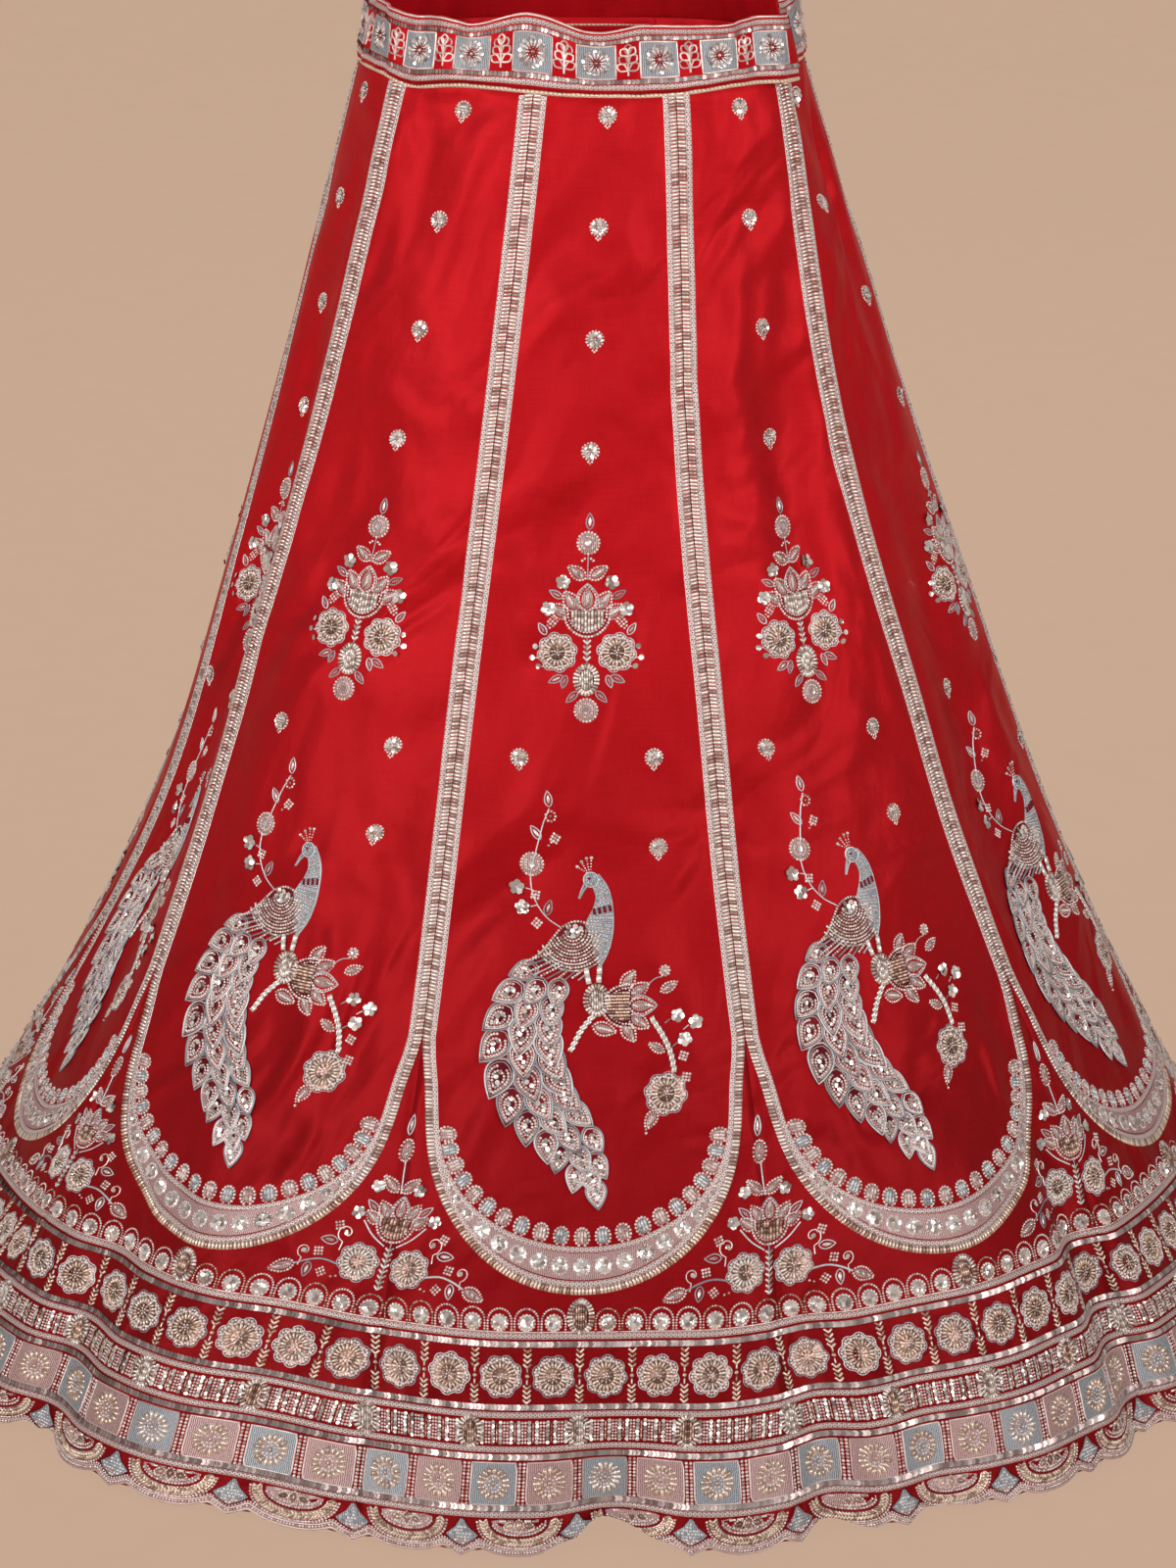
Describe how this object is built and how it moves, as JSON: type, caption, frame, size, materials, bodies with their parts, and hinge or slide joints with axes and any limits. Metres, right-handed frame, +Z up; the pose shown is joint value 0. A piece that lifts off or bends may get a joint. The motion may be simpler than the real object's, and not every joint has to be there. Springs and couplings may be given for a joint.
{
  "type": "lehenga skirt",
  "caption": "Flared floor-length lehenga skirt of red silk panels with scalloped hem, peacock and flower beadwork and an embroidered waistband, hollow as worn.",
  "frame": {"origin": "centre of the waist at half the waistband's height, where the wearer's waist holds the skirt", "axes": "+Z up, -Y the skirt's front, +X to the right of someone looking at the front"},
  "size_m": [1.0859, 1.0251, 1.0077],
  "materials": {
    "red_silk": "raw silk with a soft sheen",
    "zari_embroidery": "metal thread, bugle beads and sequins on silk",
    "cream_cord": "satin-covered cord"
  },
  "bodies": {
    "root": {"kali_01": "red_silk", "kali_02": "red_silk", "kali_03": "red_silk", "kali_04": "red_silk", "kali_05": "red_silk", "kali_06": "red_silk", "kali_07": "red_silk", "kali_08": "red_silk", "kali_09": "red_silk", "kali_10": "red_silk", "waistband_front": "zari_embroidery", "waistband_back": "zari_embroidery", "piping_front": "cream_cord", "piping_back": "cream_cord"}
  },
  "joints": []
}
